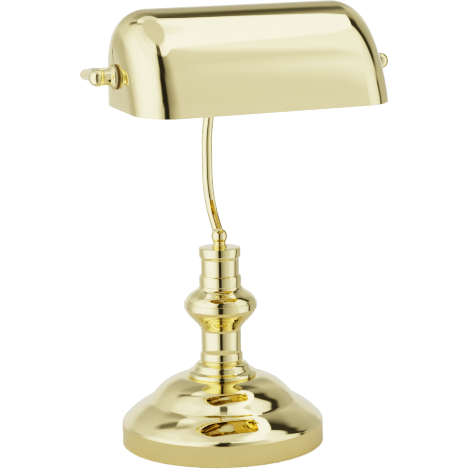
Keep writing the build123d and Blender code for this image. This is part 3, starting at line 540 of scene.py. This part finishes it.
# turned so that the lower edge is level; the finished shade is turned back
q = radians(-RIM_SLOPE)
turn = np.array([[cos(q), -sin(q)], [sin(q), cos(q)]])
prof, tang = prof @ turn.T, tang @ turn.T
nin = np.stack([-tang[:, 1], tang[:, 0]], axis=1)     # towards the inside of the trough
arcl = np.concatenate([[0], np.cumsum(np.linalg.norm(np.diff(prof, axis=0), axis=1))])
bend = np.unwrap(np.arctan2(tang[:, 1], tang[:, 0]))
curv = np.abs(np.gradient(bend, arcl))
reach_in = 0.985 / np.maximum(curv, 1e-4)             # an inset never passes the centre of curvature
COLS = 260
def row(delta, zcut):
    """The profile moved in by delta and ended at height zcut front and rear, in COLS points."""
    q = prof + nin * np.minimum(delta, reach_in)[:, None]
    top = int(np.argmax(q[:, 1]))
    def cross(side):
        idx = range(top, 0, -1) if side < 0 else range(top, len(q) - 1)
        for i in idx:
            k = i - 1 if side < 0 else i + 1
            if (q[i, 1] - zcut) * (q[k, 1] - zcut) <= 0 and q[i, 1] >= zcut:
                u = (q[i, 1] - zcut) / (q[i, 1] - q[k, 1])
                return arcl[i] + (arcl[k] - arcl[i]) * u
        raise ValueError("no cut")
    s0, s1 = cross(-1), cross(1)
    ss = np.linspace(s0, s1, COLS)
    return np.stack([np.interp(ss, arcl, q[:, 0]), np.interp(ss, arcl, q[:, 1])], axis=1)

NPHI = 22
def shell(t, zcut):
    """Rows over X from the left cap to the right cap, for the surface t inside the outer one."""
    rows = []
    for i in range(NPHI + 1):
        ph = radians(90 - 90.0 * i / NPHI)
        R = SHADE_END_R - t
        rows.append((-(SHADE_HALF - SHADE_END_R) - R * sin(ph), t + R * (1 - cos(ph))))
    for x in np.linspace(-(SHADE_HALF - SHADE_END_R), SHADE_HALF - SHADE_END_R, 9)[1:-1]:
        rows.append((x, t))
    for i in range(NPHI + 1):
        ph = radians(90.0 * i / NPHI)
        R = SHADE_END_R - t
        rows.append(((SHADE_HALF - SHADE_END_R) + R * sin(ph), t + R * (1 - cos(ph))))
    g = []
    for x, d in rows:
        p = row(d, zcut)
        g.append(np.column_stack([np.full(COLS, x), p[:, 0], p[:, 1]]))
    return np.array(g)

CAPN = 40
sv, sf = [], []
def add_shell(t, zcut, hole):
    """Adds one surface with its end caps, and returns the indices of its lower edge loop."""
    g = shell(t, zcut)
    nr = len(g)
    base = len(sv)
    for r_ in g:
        sv.extend([(p[0], p[1] + PIV_Y, p[2] + PIV_Z) for p in r_])
    for i in range(nr - 1):
        for j in range(COLS - 1):
            a, b = base + i * COLS + j, base + (i + 1) * COLS + j
            sf.append((a, a + 1, b + 1, b))
    lines = {}
    for end, i in ((-1, 0), (1, nr - 1)):
        rear, front = g[i][0], g[i][-1]
        line = []
        for k in range(1, CAPN):
            p = rear + (front - rear) * k / CAPN
            line.append(len(sv))
            sv.append((p[0], p[1] + PIV_Y, p[2] + PIV_Z))
        lines[end] = line
        curve = [base + i * COLS + j for j in range(COLS)]
        loop = curve + line[::-1]
        n = len(loop)
        prev = loop
        for u in (0.3, 0.6, 0.85, 1.0):
            cur = []
            for k in loop:
                x, y, z = sv[k]
                y -= PIV_Y
                z -= PIV_Z
                a = atan2(z, y)
                hy, hz_ = hole * cos(a), hole * sin(a)
                cur.append(len(sv))
                sv.append((x, y + (hy - y) * u + PIV_Y, z + (hz_ - z) * u + PIV_Z))
            for k in range(n):
                m = (k + 1) % n
                sf.append((prev[k], prev[m], cur[m], cur[k]))
            prev = cur
        lines[(end, "hole")] = prev
    edge = [base + i * COLS + COLS - 1 for i in range(nr)]            # front, left to right
    edge += lines[1][::-1]                                            # right cap, front to rear
    edge += [base + i * COLS for i in range(nr - 1, -1, -1)]          # rear, right to left
    edge += lines[-1]                                                 # left cap, rear to front
    return edge, lines

HOLE = PIPE_R + 0.05
eo, lo_ = add_shell(0.0, SHADE_RIM + 0.5, HOLE)
ei, li_ = add_shell(SHADE_T, SHADE_RIM + 2.2, HOLE)
for end in (-1, 1):
    a, b = lo_[(end, "hole")], li_[(end, "hole")]
    for k in range(len(a)):
        m = (k + 1) % len(a)
        sf.append((a[k], a[m], b[m], b[k]))
# hem: rounded lower edge, turned in and up to the inner surface
E = np.array([sv[k] for k in eo])
Tn = np.roll(E, -1, axis=0) - np.roll(E, 1, axis=0)
Tn[:, 2] = 0
Tn = Tn / np.linalg.norm(Tn, axis=1)[:, None]
Nn = np.stack([-Tn[:, 1], Tn[:, 0], np.zeros(len(Tn))], axis=1)      # inwards, for a loop that runs front left to right
cen = E.mean(axis=0)
if np.dot(Nn[5], cen - E[5]) < 0:
    Nn = -Nn
hem = [(0.03, 0.30), (0.12, 0.12), (0.30, 0.03), (0.50, 0.0), (0.95, 0.0), (1.40, 0.0), (1.60, 0.03), (1.78, 0.12), (1.87, 0.30),
       (1.90, 0.5), (1.90, 1.2), (1.90, 1.85), (1.84, 2.05), (1.70, 2.17), (1.50, 2.2), (1.25, 2.2)]
prev = eo
for a, b in hem:
    cur = []
    for k in range(len(E)):
        p = E[k] + Nn[k] * a
        cur.append(len(sv))
        sv.append((p[0], p[1], PIV_Z + SHADE_RIM + b))
    for k in range(len(E)):
        m = (k + 1) % len(E)
        sf.append((prev[k], prev[m], cur[m], cur[k]))
    prev = cur
for k in range(len(E)):
    m = (k + 1) % len(E)
    sf.append((prev[k], prev[m], ei[m], ei[k]))
q = radians(RIM_SLOPE + SHADE_SET)
sv = [(x, PIV_Y + (y - PIV_Y) * cos(q) - (z - PIV_Z) * sin(q), PIV_Z + (y - PIV_Y) * sin(q) + (z - PIV_Z) * cos(q))
      for x, y, z in sv]
make("shade_body", sv, sf, BRS, "shade_assembly", ["shade"], 40)

# ---- camera ----------------------------------------------------------------------------
F_PX, AZ, DIST, HGT, PAN, TILT, ROLL = 2000.0, -24.01, 1856.85, 537.978, 0.457, 10.335, 0.952
a = radians(AZ)
loc = Vector((DIST * sin(a), -DIST * cos(a), HGT)) * MM
fw = Matrix.Rotation(-radians(PAN), 3, 'Z') @ Vector((-sin(a), cos(a), 0.0))
right = fw.cross(Vector((0, 0, 1))).normalized()
fwd = fw * cos(radians(TILT)) - Vector((0, 0, 1)) * sin(radians(TILT))
up = right.cross(fwd)
r = radians(ROLL)
right2 = right * cos(r) - up * sin(r)
up2 = right * sin(r) + up * cos(r)
cam = bpy.data.cameras.new("camera")
cam.sensor_width = 36.0
cam.lens = 36.0 * F_PX / 470.0
cam.clip_start, cam.clip_end = 0.05, 60.0
cam_ob = bpy.data.objects.new("camera", cam)
scene.collection.objects.link(cam_ob)
m = Matrix((right2, up2, -fwd)).transposed().to_4x4()
m.translation = loc
cam_ob.matrix_world = m
scene.camera = cam_ob

# ---- studio: floor and light -------------------------------------------------------------
fl = bpy.data.meshes.new("floor")
N = 96
R0 = 0.30
fv = [(0, 0, 0)] + [(R0 * cos(2 * pi * i / N), R0 * sin(2 * pi * i / N), 0) for i in range(N)]
fl.from_pydata(fv, [], [(0, i + 1, (i + 1) % N + 1) for i in range(N)])
floor = bpy.data.objects.new("floor", fl)
scene.collection.objects.link(floor)
mf = bpy.data.materials.new("floor")
mf.use_nodes = True
nt = mf.node_tree
nt.nodes.clear()
out = nt.nodes.new("ShaderNodeOutputMaterial")
lp = nt.nodes.new("ShaderNodeLightPath")
mixf = nt.nodes.new("ShaderNodeMixShader")
near_, far_ = nt.nodes.new("ShaderNodeBsdfDiffuse"), nt.nodes.new("ShaderNodeBsdfDiffuse")
near_.inputs["Color"].default_value = (0.82, 0.77, 0.70, 1)
far_.inputs["Color"].default_value = (4.2, 4.2, 4.2, 1)
nt.links.new(lp.outputs["Is Camera Ray"], mixf.inputs["Fac"])
nt.links.new(near_.outputs["BSDF"], mixf.inputs[1])
nt.links.new(far_.outputs["BSDF"], mixf.inputs[2])
nt.links.new(mixf.outputs["Shader"], out.inputs["Surface"])
fl.materials.append(mf)

# Soft boxes and dark gaps of the studio, given by direction in the room.
# Azimuth 0 is the camera's place, positive to its right; each band is one range of elevation.
world = bpy.data.worlds.new("studio")
scene.world = world
world.use_nodes = True
wt = world.node_tree
wt.nodes.clear()

def wmath(op, a, b=None, c=None, clamp=False):
    n = wt.nodes.new("ShaderNodeMath")
    n.operation = op
    n.use_clamp = clamp
    for i, x in enumerate((a, b, c)):
        if x is None:
            continue
        if isinstance(x, (int, float)):
            n.inputs[i].default_value = x
        else:
            wt.links.new(x, n.inputs[i])
    return n.outputs[0]

def wdot(vec, d):
    n = wt.nodes.new("ShaderNodeVectorMath")
    n.operation = 'DOT_PRODUCT'
    wt.links.new(vec, n.inputs[0])
    n.inputs[1].default_value = d
    return n.outputs["Value"]

def wramp(fac, stops, lo, hi, top):
    """stops: (value, level). Level is scaled by top so that the ramp's colours stay within 0 to 1."""
    r_ = wt.nodes.new("ShaderNodeValToRGB")
    e = r_.color_ramp.elements
    while len(e) < len(stops):
        e.new(0.5)
    for k, (x, y) in zip(e, stops):
        k.position = (x - lo) / (hi - lo)
        y = y / top
        k.color = (y, y, y, 1)
    wt.links.new(fac, r_.inputs["Fac"])
    return wmath('MULTIPLY', r_.outputs["Color"], top)

dirn = wt.nodes.new("ShaderNodeTexCoord").outputs["Generated"]
ca = radians(AZ)
ahead = wdot(dirn, (sin(ca), -cos(ca), 0.0))
side_ = wdot(dirn, (cos(ca), sin(ca), 0.0))
height = wdot(dirn, (0.0, 0.0, 1.0))
azi = wmath('DIVIDE', wmath('ARCTAN2', side_, ahead), radians(360))
azi = wmath('ADD', azi, 0.5)
elev = wmath('DIVIDE', wmath('ARCSINE', wmath('MINIMUM', wmath('MAXIMUM', height, -1.0), 1.0)), radians(90))

LOW = [(-180, 1.15), (-152, 1.2), (-138, 1.1), (-130, 0.78), (-110, 0.72), (-96, 1.2), (-80, 1.9), (-60, 2.2), (-30, 1.9), (-15, 1.0), (-9, 0.8), (-5, 0.09), (6, 0.09), (9, 0.45), (30, 0.8), (45, 1.05), (56, 1.15), (62, 1.6), (80, 1.6), (95, 1.2), (99, 0.16), (103, 0.2), (108, 0.7), (148, 0.7), (154, 1.1), (180, 1.15)]
MID = [(-180, 0.7), (-165, 0.65), (-142, 0.8), (-128, 1.0), (-110, 1.1), (-85, 2.0), (-60, 2.2), (-28, 2.0), (-14, 1.0), (-8.5, 0.09), (5, 0.09), (9, 0.4), (30, 0.7), (45, 1.02), (56, 1.1), (62, 1.6), (80, 1.6), (102, 1.2), (107, 0.12), (115, 0.12), (121, 0.55), (140, 0.7), (152, 0.85), (165, 0.6), (180, 0.65)]
UPPER = [(-180, 0.42), (-166, 0.5), (-145, 0.55), (-130, 0.9), (-126, 0.3), (-120, 0.35), (-114, 1.1), (-95, 1.5), (-40, 1.9), (-20, 1.6), (-10, 0.9), (-6, 0.1), (11, 0.1), (16, 0.4), (35, 0.7), (50, 1.0), (60, 1.05), (67, 1.15), (71, 1.8), (88, 1.7), (102, 1.3), (106, 0.12), (122, 0.12), (132, 0.5), (146, 0.6), (156, 0.27), (163, 0.19), (172, 0.34), (180, 0.42)]
HIGH = [(-180, 1.2), (-150, 1.2), (-130, 2.0), (-122, 1.0), (-116, 0.5), (-108, 1.35), (-60, 1.4), (-25, 1.8), (-9, 1.6), (-6, 0.25), (13, 0.25), (16, 1.6), (60, 2.4), (150, 2.2), (160, 1.2), (180, 1.2)]
OVER = [(-180, 0.95), (-60, 1.0), (60, 1.0), (180, 0.95)]
bands = [wramp(azi, b_, -180, 180, 4.0) for b_ in (LOW, MID, UPPER, HIGH, OVER)]
def blend_at(a_, b_, e0, e1):
    t = wt.nodes.new("ShaderNodeMapRange")
    t.inputs["From Min"].default_value, t.inputs["From Max"].default_value = e0 / 90, e1 / 90
    wt.links.new(elev, t.inputs["Value"])
    m_ = wt.nodes.new("ShaderNodeMix")
    m_.data_type = 'FLOAT'
    wt.links.new(t.outputs["Result"], m_.inputs[0])
    wt.links.new(a_, m_.inputs[2])
    wt.links.new(b_, m_.inputs[3])
    return m_.outputs[0]
lev = blend_at(bands[0], bands[1], 16, 24)
lev = blend_at(lev, bands[2], 41, 48)
lev = blend_at(lev, bands[3], 58.3, 59.6)
lev = blend_at(lev, bands[4], 66.5, 71.0)
bg = wt.nodes.new("ShaderNodeBackground")
tint = wt.nodes.new("ShaderNodeCombineColor")
for k_, g_ in ((0, 1.0), (1, 1.015), (2, 1.03)):
    wt.links.new(wmath('MULTIPLY', lev, g_), tint.inputs[k_])
wt.links.new(tint.outputs["Color"], bg.inputs["Color"])
bgc = wt.nodes.new("ShaderNodeBackground")
bgc.inputs["Color"].default_value = (1, 1, 1, 1)
bgc.inputs["Strength"].default_value = 6.0
wl = wt.nodes.new("ShaderNodeLightPath")
wm = wt.nodes.new("ShaderNodeMixShader")
wo = wt.nodes.new("ShaderNodeOutputWorld")
wt.links.new(wl.outputs["Is Camera Ray"], wm.inputs["Fac"])
wt.links.new(bg.outputs["Background"], wm.inputs[1])
wt.links.new(bgc.outputs["Background"], wm.inputs[2])
wt.links.new(wm.outputs["Shader"], wo.inputs["Surface"])

# tone curve of a contrasty studio print
vs_ = scene.view_settings
vs_.view_transform = 'Standard'
vs_.use_curve_mapping = True
cm = vs_.curve_mapping
TOP = 3.0
cm.white_level = (TOP, TOP, TOP)
cm.use_clip = True
cv = cm.curves[3]
pts = [(x, x ** 1.95 / (x ** 1.95 + 0.413)) for x in (0.0, 0.06, 0.12, 0.2, 0.3, 0.42, 0.56, 0.72, 0.92, 1.2, 1.6, 2.1)] + [(3.0, 1.0)]
while len(cv.points) < len(pts):
    cv.points.new(0.5, 0.5)
for k, (x, y) in zip(cv.points, pts):
    k.location = (x / TOP, y)
    k.handle_type = 'AUTO_CLAMPED'
cm.update()
